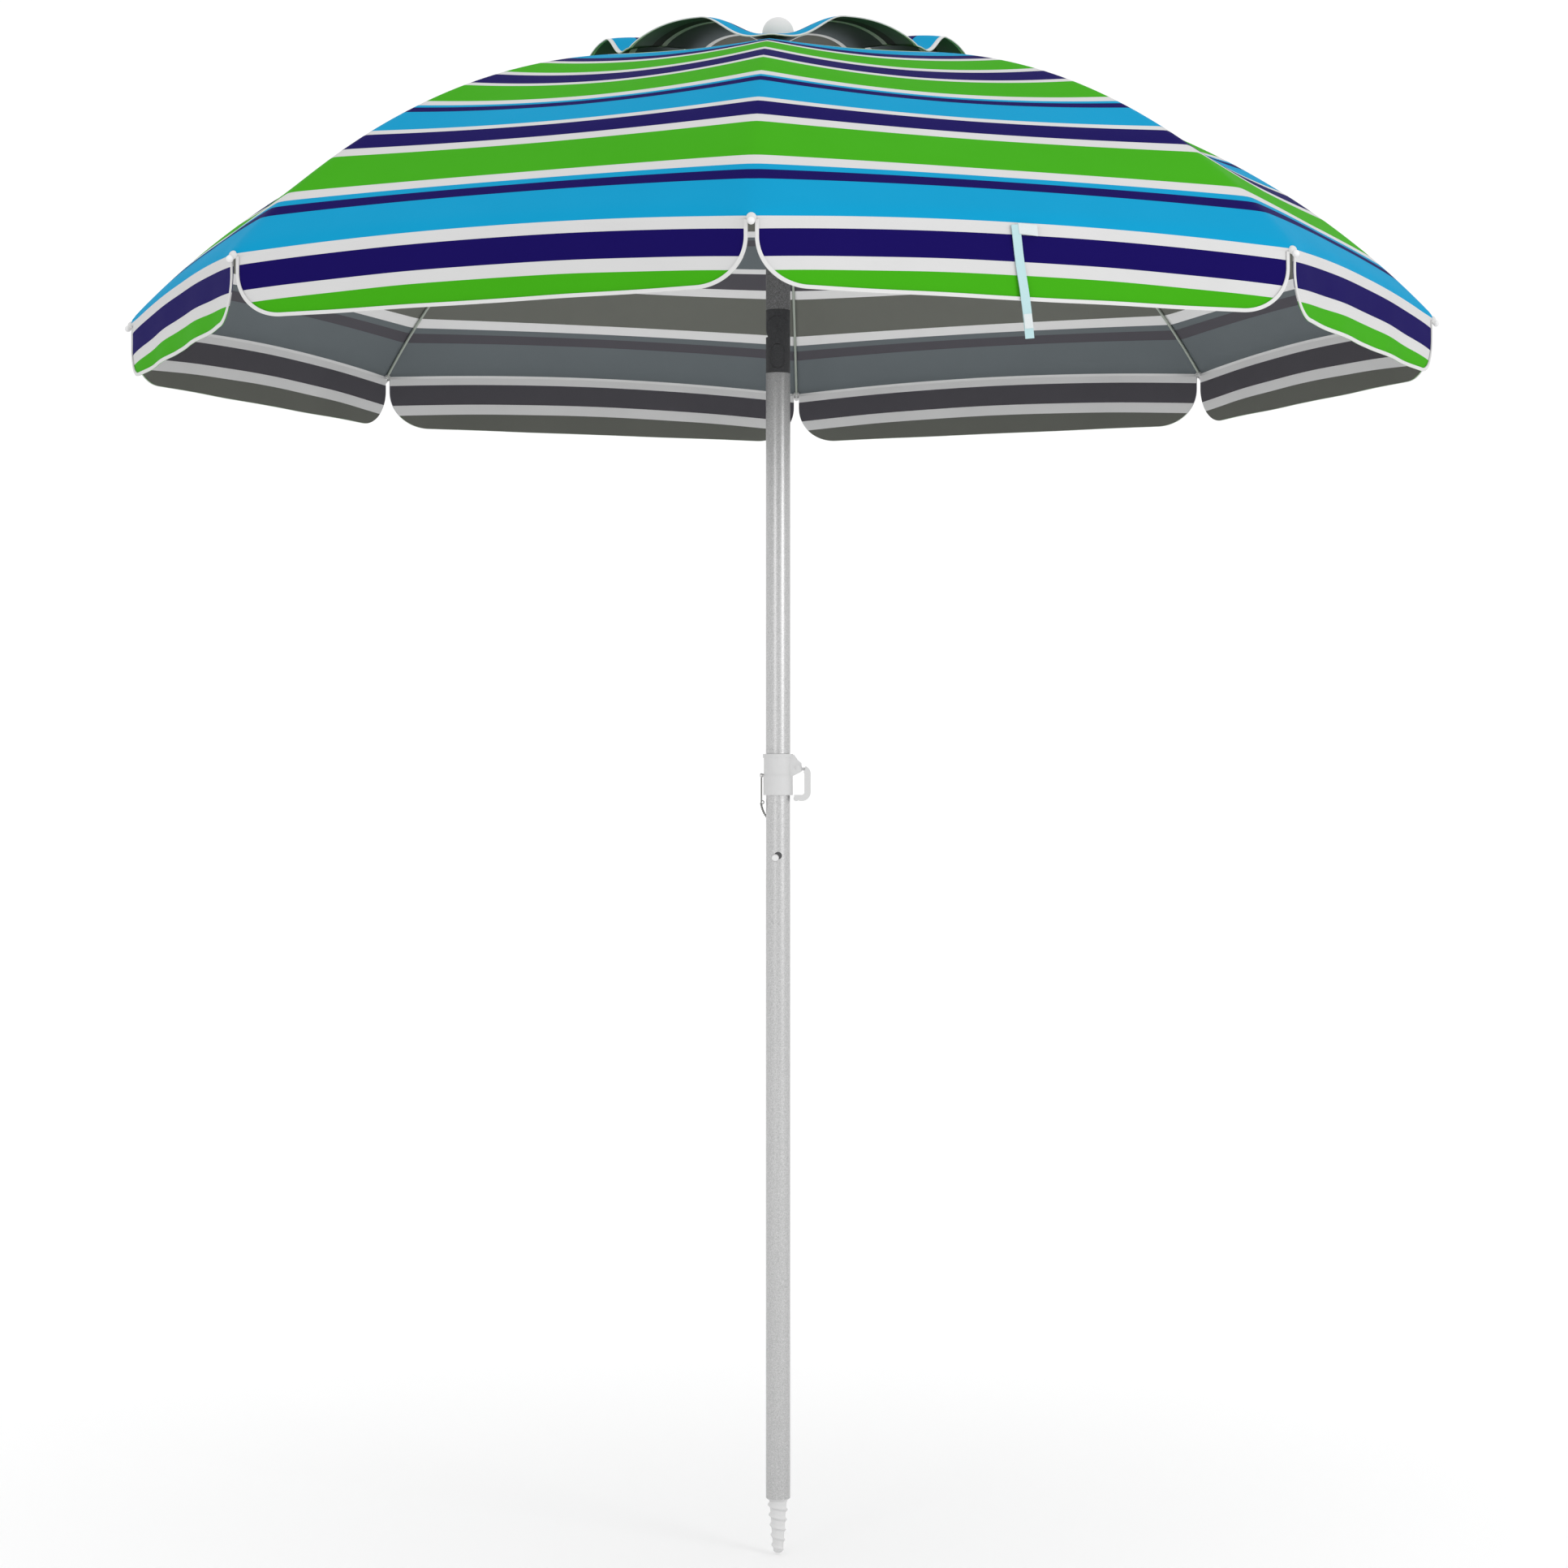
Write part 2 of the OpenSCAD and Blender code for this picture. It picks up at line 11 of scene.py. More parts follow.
import bmesh
import bpy
import numpy as np
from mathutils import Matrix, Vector

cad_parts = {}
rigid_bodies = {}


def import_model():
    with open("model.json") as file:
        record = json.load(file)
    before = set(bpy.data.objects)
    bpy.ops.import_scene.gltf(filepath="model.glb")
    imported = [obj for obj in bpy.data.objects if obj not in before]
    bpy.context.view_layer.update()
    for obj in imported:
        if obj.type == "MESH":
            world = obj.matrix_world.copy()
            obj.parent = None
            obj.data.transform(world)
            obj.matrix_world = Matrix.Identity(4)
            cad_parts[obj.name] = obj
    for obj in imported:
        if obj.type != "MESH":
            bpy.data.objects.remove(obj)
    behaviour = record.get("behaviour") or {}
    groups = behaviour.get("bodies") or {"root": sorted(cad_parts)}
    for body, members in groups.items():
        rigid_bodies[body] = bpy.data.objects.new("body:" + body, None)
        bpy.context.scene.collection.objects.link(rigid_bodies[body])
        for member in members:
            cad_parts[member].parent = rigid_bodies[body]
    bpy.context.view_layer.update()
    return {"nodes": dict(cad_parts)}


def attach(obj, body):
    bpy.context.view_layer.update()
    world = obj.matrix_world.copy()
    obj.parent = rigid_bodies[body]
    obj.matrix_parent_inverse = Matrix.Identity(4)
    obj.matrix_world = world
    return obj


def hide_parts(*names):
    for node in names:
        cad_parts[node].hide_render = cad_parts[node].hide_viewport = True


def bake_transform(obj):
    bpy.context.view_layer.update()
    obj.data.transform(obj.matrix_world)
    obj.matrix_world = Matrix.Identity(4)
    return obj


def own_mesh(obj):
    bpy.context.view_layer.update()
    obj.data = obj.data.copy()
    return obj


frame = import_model()
MM = 0.001
RIBS = range(1, 9)
print("frame loaded:", len(frame["nodes"]), "CAD nodes")

# %% [markdown]
# ## Meshes from grids
# Cloth is cut flat, so each surface here is a grid: one direction runs down the panel, the other across it,
# and every grid carries its flat position as its UV map, in metres. That is what lets the stripes follow the
# cloth instead of the air around it.

# %% Grids
def mesh_object(name, points, faces, uv=None, sharp=35):
    """An object from points in mm and a list of faces, with one UV pair for each point."""
    mesh = bpy.data.meshes.new(name)
    mesh.from_pydata((points * MM).tolist(), [], faces.tolist())
    if uv is not None:
        corners = np.zeros(len(mesh.loops), np.int32)
        mesh.loops.foreach_get("vertex_index", corners)
        mesh.uv_layers.new(name="cloth").data.foreach_set("uv", (uv[corners] * MM).ravel())
    mesh.polygons.foreach_set("use_smooth", np.ones(len(mesh.polygons), bool))
    mesh.set_sharp_from_angle(angle=math.radians(sharp))
    obj = bpy.data.objects.new(name, mesh)
    bpy.context.collection.objects.link(obj)
    return obj


def quads(rows, cols, start=0, flip=False, wrap=False):
    """The faces of a grid of rows by cols points, numbered row by row from start; wrap closes each row."""
    index = np.arange(rows * cols).reshape(rows, cols) + start
    if wrap:
        index = np.concatenate([index, index[:, :1]], axis=1)
    faces = np.stack([index[:-1, :-1], index[1:, :-1], index[1:, 1:], index[:-1, 1:]], -1).reshape(-1, 4)
    return faces[:, ::-1] if flip else faces


def joined(grids):
    """Several (points, uv, flip) grids as one list of points, faces and UV pairs."""
    points, faces, uv, start = [], [], [], 0
    for grid, flat, flip in grids:
        rows, cols = grid.shape[:2]
        points.append(grid.reshape(-1, 3))
        uv.append(flat.reshape(-1, 2))
        faces.append(quads(rows, cols, start, flip))
        start += rows * cols
    return np.concatenate(points), np.concatenate(faces), np.concatenate(uv)


def welded(obj, distance=0.02):
    """Joins points that lie on each other, so that neighbouring grids become one sheet."""
    bm = bmesh.new()
    bm.from_mesh(obj.data)
    bmesh.ops.remove_doubles(bm, verts=bm.verts, dist=distance * MM)
    bm.to_mesh(obj.data)
    bm.free()
    obj.data.set_sharp_from_angle(angle=math.radians(35))
    return obj


def hard_rim(mesh):
    """Marks the edges that belong to one face only as sharp, so that the cut edge of a sheet doesn't shade
    the cloth beside it."""
    pairs = np.zeros(len(mesh.loops), np.int32)
    mesh.loops.foreach_get("edge_index", pairs)
    single = np.bincount(pairs, minlength=len(mesh.edges)) == 1
    sharp = np.zeros(len(mesh.edges), bool)
    mesh.edges.foreach_get("use_edge_sharp", sharp)
    mesh.edges.foreach_set("use_edge_sharp", sharp | single)


def thickened(obj, thickness, outer, inner=None):
    """Gives a sheet its thickness behind its outer face, with its two materials."""
    hard_rim(obj.data)
    obj.data.materials.append(outer)
    if inner:
        obj.data.materials.append(inner)
    solid = obj.modifiers.new("thickness", "SOLIDIFY")
    solid.thickness = thickness * MM
    solid.offset = -1
    if inner:
        solid.material_offset = 1
    return obj


def turned(points, degrees):
    """Points turned round the pole's axis."""
    a = math.radians(degrees)
    c, s = math.cos(a), math.sin(a)
    return points @ np.array([[c, s, 0], [-s, c, 0], [0, 0, 1]])


def rib_angle(k):
    """The direction of rib k, in degrees from +X."""
    return (k - 1) * 45 - 90


print("grid helpers ready")

# %% [markdown]
# ## Materials
# One small class stands for a node's output, so that a pattern reads as arithmetic. Painted tube, hammered
# enamel, moulded plastic, plated steel and printed polyester each get one procedural material.

# %% Sockets
WHITE, CYAN = (0.56, 0.56, 0.56), (0.004, 0.27, 0.49)
NAVY, GREEN = (0.007, 0.003, 0.085), (0.045, 0.33, 0.007)


class Sock:
    """A node's output. Adding, taking away, multiplying, dividing and raising make Math nodes."""

    def __init__(self, tree, out):
        self.tree, self.out = tree, out

    def math(self, kind, *others):
        node = self.tree.nodes.new("ShaderNodeMath")
        node.operation = kind
        for place, value in enumerate((self,) + others):
            put(self.tree, node.inputs[place], value)
        return Sock(self.tree, node.outputs[0])

    def __add__(self, b):
        return self.math("ADD", b)

    __radd__ = __add__

    def __sub__(self, b):
        return self.math("SUBTRACT", b)

    def __rsub__(self, b):
        return (self * -1) + b

    def __mul__(self, b):
        return self.math("MULTIPLY", b)

    __rmul__ = __mul__

    def __truediv__(self, b):
        return self.math("DIVIDE", b)

    def __pow__(self, b):
        return self.math("POWER", b)

    def above(self, b):
        return self.math("GREATER_THAN", b)


def put(tree, socket, value):
    """Links a Sock to a socket, or writes a constant on it."""
    if isinstance(value, Sock):
        tree.links.new(value.out, socket)
    elif isinstance(value, (tuple, list)) and len(value) == 3 and socket.type == "RGBA":
        socket.default_value = (*value, 1)
    else:
        socket.default_value = value


class Finish:
    """A material under construction, with its Principled shader."""

    def __init__(self, name):
        self.material = bpy.data.materials.new(name)
        self.material.use_nodes = True
        self.tree = self.material.node_tree
        self.shader = self.tree.nodes["Principled BSDF"]

    def node(self, kind, out=0, settings=None, **inputs):
        """Any other node: its settings, then its inputs by name with spaces as underscores."""
        node = self.tree.nodes.new("ShaderNode" + kind)
        for key, value in (settings or {}).items():
            setattr(node, key, value)
        for key, value in inputs.items():
            put(self.tree, node.inputs[key.replace("_", " ")], value)
        return Sock(self.tree, node.outputs[out])

    def mix(self, factor, a, b):
        """A colour between a and b."""
        node = self.tree.nodes.new("ShaderNodeMix")
        node.data_type = "RGBA"
        for place, value in ((0, factor), (6, a), (7, b)):
            put(self.tree, node.inputs[place], value)
        return Sock(self.tree, node.outputs[2])

    def noise(self, scale, detail=2.0, rough=0.5):
        """Noise on Object coordinates, from 0 to 1."""
        place = self.node("TexCoord", out=3)
        return self.node("TexNoise", Vector=place, Scale=scale, Detail=detail, Roughness=rough)

    def grain(self, scale, low, high):
        """Round cells on Object coordinates, rising from 0 to 1 between two distances."""
        place = self.node("TexCoord", out=3)
        cells = self.node("TexVoronoi", Vector=place, Scale=scale)
        return ((cells - low) / (high - low)).math("MAXIMUM", 0.0).math("MINIMUM", 1.0)

    def bump(self, height, strength, distance):
        """A Bump normal from a height."""
        return self.node("Bump", Strength=strength, Distance=distance, Height=height)

    def done(self, **sockets):
        """Sets the shader's sockets, by name with spaces as underscores, and returns the material."""
        for key, value in sockets.items():
            put(self.tree, self.shader.inputs[key.replace("_", " ")], value)
        return self.material


print("material helpers ready")

# %% [markdown]
# The tubes are steel under a hammered silver enamel: small dimples that catch the light, so the colour and
# the bump come from the same cells. The mast above the joint is the same enamel, painted dark grey as the
# shade that falls on it under the canopy, and the joint itself is a near-black moulding with a fine spark.


# %% Metal and plastic
def hammered(name, dark, light, metallic, rough, scale, size):
    """Hammered enamel: cells of a dark and a light tone, with a soft bump."""
    f = Finish(name)
    cells = f.grain(scale, 0.1, 0.75)
    patches = f.noise(scale * 0.45, 3.0, 0.6)
    tone = ((cells * 0.55 + patches * 0.9) - 0.25).math("MAXIMUM", 0.0).math("MINIMUM", 1.0)
    return f.done(
        Base_Color=f.mix(tone, dark, light),
        Metallic=metallic,
        Roughness=rough + tone * 0.1,
        Normal=f.bump(cells + patches, 0.35, size * MM),
    )


def plain(name, colour, metallic=0.0, rough=0.4, grain=0.04, scale=220):
    """A moulded or plated surface: one colour with a faint grain and a matching bump."""
    f = Finish(name)
    n = f.noise(scale, 3.0, 0.6)
    deep = tuple(c * (1 - 2 * grain) for c in colour)
    return f.done(
        Base_Color=f.mix(n, deep, colour),
        Metallic=metallic,
        Roughness=rough + n * 0.08,
        Normal=f.bump(n, 0.15, 0.05 * MM),
    )


POLE = hammered("pole enamel", (0.31, 0.31, 0.31), (0.60, 0.60, 0.60), 0.8, 0.26, 1000, 0.12)
# The mast's dark tones are painted shade from the canopy above it, not a darker enamel.
MAST_PAINTED_SHADE = hammered("mast enamel", (0.045, 0.045, 0.045), (0.31, 0.31, 0.315), 0.4, 0.35, 900, 0.15)
JOINT = hammered("joint moulding", (0.012, 0.0125, 0.014), (0.06, 0.061, 0.065), 0.1, 0.42, 1100, 0.1)
# The insert tube is near black as painted shade: it stands in for the shadow inside the snap button's hole.
INSERT_PAINTED_SHADE = plain("insert tube steel", (0.07, 0.07, 0.072), 0.4, 0.4)
PALE = plain("pale moulding", (0.60, 0.60, 0.60), 0.0, 0.5, 0.02)
STEEL = plain("plated steel", (0.62, 0.62, 0.61), 0.9, 0.25)
CHAIN = plain("chain steel", (0.24, 0.24, 0.23), 0.7, 0.35)
RIB = plain("rib steel", (0.36, 0.40, 0.35), 0.2, 0.38)
WHITE_MOULDED = plain("white moulding", (0.70, 0.70, 0.70), 0.0, 0.4, 0.02)
print("metal and plastic finishes made")

# %% [markdown]
# ## The printed cloth
# The cover is polyester printed with bands that run straight across each panel, parallel to its rim. The
# bands are listed from the rim seam upwards, and from the seam down for the valance, each with its width in
# mm. The underside is coated grey, and its tones are also set darker as painted shade under the canopy, with
# the white band lighter as painted light; the print shows through it only as lighter and darker bands.

# %% Cloth materials
COVER_BANDS = [
    (WHITE, 5), (CYAN, 65), (NAVY, 20), (CYAN, 11), (WHITE, 17), (GREEN, 79), (WHITE, 17), (NAVY, 38),
    (WHITE, 13), (CYAN, 53), (NAVY, 16), (CYAN, 9), (WHITE, 13), (GREEN, 66), (WHITE, 10), (NAVY, 42),
    (WHITE, 13), (GREEN, 61), (WHITE, 15), (NAVY, 30), (CYAN, 55), (WHITE, 10), (GREEN, 200),
]
VALANCE_BANDS = [(WHITE, 10.5), (NAVY, 31.5), (WHITE, 13.5), (GREEN, 40)]
VENT_BANDS = [
    (WHITE, 5), (CYAN, 34), (NAVY, 15), (WHITE, 8), (CYAN, 62), (WHITE, 8), (GREEN, 46), (WHITE, 8),
    (NAVY, 14), (CYAN, 100),
]
OUTSIDE = {tone: tone for tone in (WHITE, CYAN, NAVY, GREEN)}
# Underside tones: a grey coating, with each band's tone set to how bright it looks in the canopy's shade, so
# partly painted shade and light.
UNDERSIDE_COATING_AND_SHADE = {
    WHITE: (0.74, 0.74, 0.74),
    CYAN: (0.135, 0.155, 0.165),
    NAVY: (0.088, 0.084, 0.096),
    GREEN: (0.145, 0.15, 0.133),
}


def banded(name, up, down, tones):
    """Cloth whose colour steps with the UV map's second number, the distance from the seam."""
    f = Finish(name)
    low, high = -sum(w for _, w in down), sum(w for _, w in up)
    uv = f.node("TexCoord", out=2)
    split = f.node("SeparateXYZ", out=1, Vector=uv)
    share = (split / MM - low) / (high - low)
    ramp = f.tree.nodes.new("ShaderNodeValToRGB")
    ramp.color_ramp.interpolation = "CONSTANT"
    put(f.tree, ramp.inputs[0], share)
    stops, at = [], 0.0
    for colour, width in reversed(down):
        stops.append((at, colour))
        at += width
    for colour, width in up:
        stops.append((at, colour))
        at += width
    elements = ramp.color_ramp.elements
    elements[0].color = (*tones[stops[0][1]], 1)
    elements.remove(elements[1])
    for place, colour in stops[1:]:
        elements.new(place / (high - low)).color = (*tones[colour], 1)
    colour = Sock(f.tree, ramp.outputs[0])
    weave = f.node("TexWave", Vector=uv, Scale=320.0, Distortion=0.4)
    soft = f.noise(9.0, 3.0, 0.5)
    return f.done(
        Base_Color=f.mix(soft * 0.07, colour, (0.0, 0.0, 0.0)),
        Specular_IOR_Level=0.04,
        Roughness=0.72 + soft * 0.1,
        Normal=f.bump(weave * 0.3 + soft, 0.2, 0.4 * MM),
    )


COVER = banded("cover print", COVER_BANDS, VALANCE_BANDS, OUTSIDE)
COVER_UNDER = banded("cover underside", COVER_BANDS, VALANCE_BANDS, UNDERSIDE_COATING_AND_SHADE)
VENT = banded("vent print", VENT_BANDS, [(WHITE, 5)], OUTSIDE)
VENT_UNDER = banded("vent underside", VENT_BANDS, [(WHITE, 5)], UNDERSIDE_COATING_AND_SHADE)
TAPE = plain("white binding", (0.59, 0.59, 0.585), 0.0, 0.8, 0.03, 900)
STRAP = plain("aqua webbing", (0.40, 0.58, 0.60), 0.0, 0.8, 0.05, 700)
HOOKS = plain("hook and loop", (0.62, 0.67, 0.68), 0.0, 0.9, 0.12, 1400)
print("cloth finishes made:", len(COVER_BANDS) + len(VALANCE_BANDS), "bands on the cover")

# %% [markdown]
# ## The cover's shape
# Eight panels are sewn along the ribs and pulled tight by the bent ribs. Between two ribs the cloth spans
# straight across, sags a little where nothing holds it, and lifts at the rim. A piece here is the cloth that
# goes with one rib: half a panel on either side, because that's what folds with the rib.

# %% Cover surface
HALF = math.radians(22.5)
BEND_R, ARC_R, ARC_Z = 110.0, 1020.0, 848.0
TOP_OFF = 3.0  # the cloth's outer face above a rib's centre line
OPENING_R, RIM_R = 150.0, 860.0
TIP_A = math.asin((RIM_R - BEND_R) / ARC_R)
OPEN_A = math.asin((OPENING_R - BEND_R) / ARC_R)
FOLD = 8.0  # how round the cloth lies over a rib
TUCK = 9.0  # how far the rim is drawn in where it rounds over into the valance
RIM_OUT = RIM_R + TOP_OFF * math.sin(TIP_A) - TUCK
RIM_Z = ARC_Z + (ARC_R + TOP_OFF) * math.cos(TIP_A)


def drop(r):
    """Height of a panel's middle over a straight span, at a rib's distance r: it sags between the hub and
    the rim by a sine raised to a power, and lifts by a square over the last part."""
    sag = 12.5 * np.sin(np.pi * np.clip((r - 150) / 710, 0, 1)) ** 2.5
    return 11 * np.clip((r - 700) / 150, 0, 1) ** 2 - sag


def spanned(r, z, u, side):
    """Points of half a panel: from the rib at distance r and height z, share u of the way to the panel's
    middle. The span is straight and square to the panel's middle plane, with a small round over the rib."""
    reach = r * math.sin(HALF)
    across = u * reach
    fold = FOLD * (1 - u)
    along = np.sqrt(across**2 + fold**2) - fold
    x = r - math.sin(HALF) * along
    y = side * math.cos(HALF) * across
    return np.stack([x, y, z + 0 * u], -1)


def roof(side, rows=64, cols=26):
    """Half a panel's roof as a grid with its flat UV map, from the opening to the rim, where the cloth rounds
    over into the valance by a square of the distance left."""
    down = 1 - (1 - np.linspace(0, 1, rows)) ** 1.4
    a, u = np.meshgrid(OPEN_A + (TIP_A - OPEN_A) * down, np.linspace(0, 1, cols) ** 1.15, indexing="ij")
    r = BEND_R + (ARC_R + TOP_OFF) * np.sin(a)
    z = ARC_Z + (ARC_R + TOP_OFF) * np.cos(a) + drop(r) * (1 - (1 - u) ** 2)
    to_rim = (TIP_A - a) * (ARC_R + TOP_OFF)
    r = r - TUCK * np.clip(1 - to_rim / (12 + 22 * np.minimum(1, 6 * u)), 0, 1) ** 2
    uv = np.stack([side * u * r * math.sin(HALF), to_rim], -1)
    return spanned(r, z, u, side), uv, side < 0


SPAN = RIM_OUT * math.sin(HALF)
CORNER_W, CORNER_D, FLAP_GAP, FLAP_DEEP = 65.0, 18.0, 4.3, 71.0


def flap_depth(w):
    """Depth of the valance below the seam, w from the rib: a quarter ellipse at the corner, then a lower
    edge that stays level while the seam above it lifts."""
    x = np.clip((CORNER_W - w) / (CORNER_W - FLAP_GAP), 0, 1)
    corner = CORNER_D + (FLAP_DEEP - CORNER_D) * np.sqrt(1 - x**2)
    return corner + lift_at(w)


def lift_at(w):
    """Lift of the rim's seam, w from the rib."""
    u = w / SPAN
    return drop(np.array(RIM_OUT)) * (1 - (1 - u) ** 2)


def flap_point(w, d, side, out=0.0):
    """A point of the valance w from the rib and d below the seam: it hangs from the rim with a slow wave
    that grows downwards, and out moves it off the cloth."""
    u = w / SPAN
    wave = 2.2 * (d / 80) * np.sin(3.2 * np.pi * u + 0.6) * (1 - u) * u * 4
    p = spanned(np.full_like(w, RIM_OUT), RIM_Z + lift_at(w) - d, u, side)
    normal = np.array([math.cos(HALF), side * math.sin(HALF), 0])
    return p + (wave + out)[..., None] * normal


def flap(side, rows=22, cols=60):
    """Half a flap of the valance as a grid with its flat UV map, from the seam down."""
    t = np.linspace(0, 1, cols) ** 2
    w = FLAP_GAP + (SPAN - FLAP_GAP) * t
    s, w = np.meshgrid(np.linspace(0, 1, rows), w, indexing="ij")
    d = s * flap_depth(w)
    return flap_point(w, d, side), np.stack([side * w, -d], -1), side < 0


def area_of(grid):
    """A grid's area in square mm."""
    a, b, c = grid[1:, :-1] - grid[:-1, :-1], grid[1:, 1:] - grid[:-1, :-1], grid[:-1, 1:] - grid[:-1, :-1]
    return (np.linalg.norm(np.cross(a, b), axis=-1) + np.linalg.norm(np.cross(b, c), axis=-1)).sum() / 2


print("rim at", round(RIM_OUT, 1), "mm, seam", round(RIM_Z, 1), "mm high, half span", round(SPAN, 1), "mm")


def folding(obj, k):
    """Rides on rib k: parented to the rib's body, with its own copy of the mesh."""
    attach(obj, f"rib_{k}")
    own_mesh(obj)
    return obj


def cloth_piece(name, k, grids, thickness, outer, inner=None):
    """One sheet made of several grids round rib k."""
    points, faces, uv = joined(grids)
    obj = welded(mesh_object(name, turned(points, rib_angle(k)), faces, uv))
    thickened(obj, thickness, outer, inner)
    return folding(obj, k)


flat_roof = sum(area_of(roof(s)[0]) for s in (-1, 1))
flat_flap = sum(area_of(flap(s)[0]) for s in (-1, 1))
for k in RIBS:
    grids = [roof(-1), roof(1), flap(-1), flap(1)]
    cover = cloth_piece(f"cover_{k}", k, grids, 0.5, COVER, COVER_UNDER)
    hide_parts(f"canopy_gore_{k}")

# %% [markdown]
# ## Bindings
# A white tape is folded over the raw edge of every flap, round its corners and along its lower edge. On the
# real thing it is sewn through both faces, so here it stands a little proud of the cloth on both sides.


# %% Flap bindings
def binding(side, width=3.9):
    """The tape along half a flap's edge: down beside the rib, round the corner and along the lower edge."""
    side_d = np.linspace(0, CORNER_D, 8)[:-1]
    corner = np.linspace(0, np.pi / 2, 26)
    low_w = np.linspace(CORNER_W, SPAN, 34)[1:]
    w = np.concatenate([0 * side_d + FLAP_GAP, CORNER_W - (CORNER_W - FLAP_GAP) * np.cos(corner), low_w])
    flat_d = CORNER_D + (FLAP_DEEP - CORNER_D) * np.sin(corner)
    d = np.concatenate([side_d, flat_d, 0 * low_w + FLAP_DEEP])
    d = d + lift_at(w) * np.clip(d / CORNER_D, 0, 1)
    tangent = np.stack([np.gradient(w), np.gradient(d)], -1)
    tangent /= np.linalg.norm(tangent, axis=1, keepdims=True)
    inward = np.stack([tangent[:, 1], -tangent[:, 0]], -1)
    s = np.linspace(-0.3, width, 4)
    ww = w[:, None] + inward[:, None, 0] * s
    dd = d[:, None] + inward[:, None, 1] * s
    ww = np.minimum(ww, SPAN)
    grid = flap_point(ww, dd, side, 0.45)
    return grid, np.stack([ww, dd], -1), side > 0


for k in RIBS:
    tape = cloth_piece(f"binding_{k}", k, [binding(-1), binding(1)], 1.4, TAPE)
print("bindings made")

# %% [markdown]
# ## The vent cap
# A second small cover sits over the opening at the top and is caught at the ribs only. Between two ribs its
# rim stands up in an arch, which lets wind out, and close to each rib it dips. It's cut in eight panels too.

# %% Vent surface
VENT_IN, VENT_R = 12.0, 258.0
BINDING_FROM = 1 - 3.5 / (VENT_R - VENT_IN)  # the share of the radius where the rim's tape starts


def vent_grid(side, slow, rows=30, cols=34, out=0.0, t0=0.0):
    """Half a panel of the vent cap: nearly flat along the rib until it drops at the rim, plus an arch between
    the ribs that grows with a power of the distance. The slow side of an arch rises late, after a dip that is
    only at the rim; its other side rises at once. Both are level where they meet."""
    t, u = np.meshgrid(np.linspace(t0, 1, rows), np.linspace(0, 1, cols), indexing="ij")
    r = VENT_IN + (VENT_R - VENT_IN) * t
    if slow:
        arch = 30 * t**0.8 * np.sin(np.pi / 2 * u) ** 2.2 - 9 * t**7 * np.sin(np.pi * u) ** 2
    else:
        arch = 30 * t**0.8 * (1 - (1 - u) ** 2.4)
    z = 1883.0 - 15 * t**5 + arch + out
    uv = np.stack([side * u * r * math.sin(HALF), VENT_R - r], -1)
    return spanned(r, z, u, side), uv, side < 0


def slow_side(k, side):
    """The arches lean away from the front, so the half that starts at the rib nearer the front is slow."""
    return (side > 0 and k <= 4) or (side < 0 and k in (1, 6, 7, 8))


vent_area = sum(area_of(vent_grid(s, s > 0)[0]) for s in (-1, 1))
for k in RIBS:
    halves = [vent_grid(s, slow_side(k, s)) for s in (-1, 1)]
    vent = cloth_piece(f"vent_{k}", k, halves, 0.5, VENT, VENT_UNDER)
    rim = [vent_grid(s, slow_side(k, s), rows=3, out=0.4, t0=BINDING_FROM) for s in (-1, 1)]
    edge = cloth_piece(f"vent_binding_{k}", k, rim, 1.3, TAPE)
print("vent cap pieces:", round(vent_area), "square mm each")

# %% [markdown]
# ## Corner caps
# Where two panels meet a rib's end, a round white patch is sewn over the corner, and the rib's ball sits
# under it. Here it's a dome of cloth.


# %% Corner caps
def dome(centre, radius, up, rows=10, cols=24, reach=0.62):
    """Part of a sphere round a direction up, from its pole to the share reach of a half turn."""
    up = np.array(up) / np.linalg.norm(up)
    side = np.cross(up, [0, 1, 0])
    side /= np.linalg.norm(side)
    other = np.cross(up, side)
    round_it = np.linspace(0, 2 * np.pi, cols, endpoint=False)
    a, b = np.meshgrid(np.linspace(0.03, np.pi * reach, rows), round_it, indexing="ij")
    ring = np.cos(b)[..., None] * side + np.sin(b)[..., None] * other
    return np.array(centre) + radius * (np.cos(a)[..., None] * up + np.sin(a)[..., None] * ring)


TIP_Z = ARC_Z + ARC_R * math.cos(TIP_A)
for k in RIBS:
    grid = dome((RIM_R - 5.5, 0, TIP_Z + 4.2), 5.6, (math.sin(TIP_A), 0, math.cos(TIP_A)))
    rows, cols = grid.shape[:2]
    points = turned(grid.reshape(-1, 3), rib_angle(k))
    cap = mesh_object(f"corner_cap_{k}", points, quads(rows, cols, wrap=True))
    thickened(cap, 0.8, TAPE)
    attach(cap, f"rib_{k}")
print("corner caps made")

# %% [markdown]
# ## The screw spike
# The foot is one moulding: a plug inside the tube, a flange, and a tapering core with a coarse thread that
# pulls the pole into sand. A thread is a helix, so the core's radius is worked out for every angle and depth.


# %% Screw spike
def spike_grid(depths=230, turns=96):
    """The spike's surface: a straight taper plus a rounded ridge whose depth falls by one pitch a turn."""
    round_it = np.linspace(0, 2 * np.pi, turns, endpoint=False)
    d, a = np.meshgrid(np.linspace(3.2, 72.2, depths), round_it, indexing="ij")
    core = 11.6 - 5.4 * d / 72
    phase = (d - 9.2 - 13.2 * ((a / (2 * np.pi) - 0.5) % 1)) / 13.2
    off = np.abs((phase + 0.5) % 1 - 0.5)
    ridge = np.clip(1 - off / 0.27, 0, 1)
    ridge = ridge**1.3 * (2.9 - 1.1 * d / 72)
    fade = np.clip((d - 3.2) / 3, 0, 1) * np.clip((70 - d) / 4, 0, 1)
    r = core + ridge * fade
    tip = np.clip((72.2 - d) / 3.5, 0, 1)
    r = r * np.sqrt(1 - (1 - tip) ** 2 * 0.75)
    return np.stack([r * np.cos(a), r * np.sin(a), -d], -1)


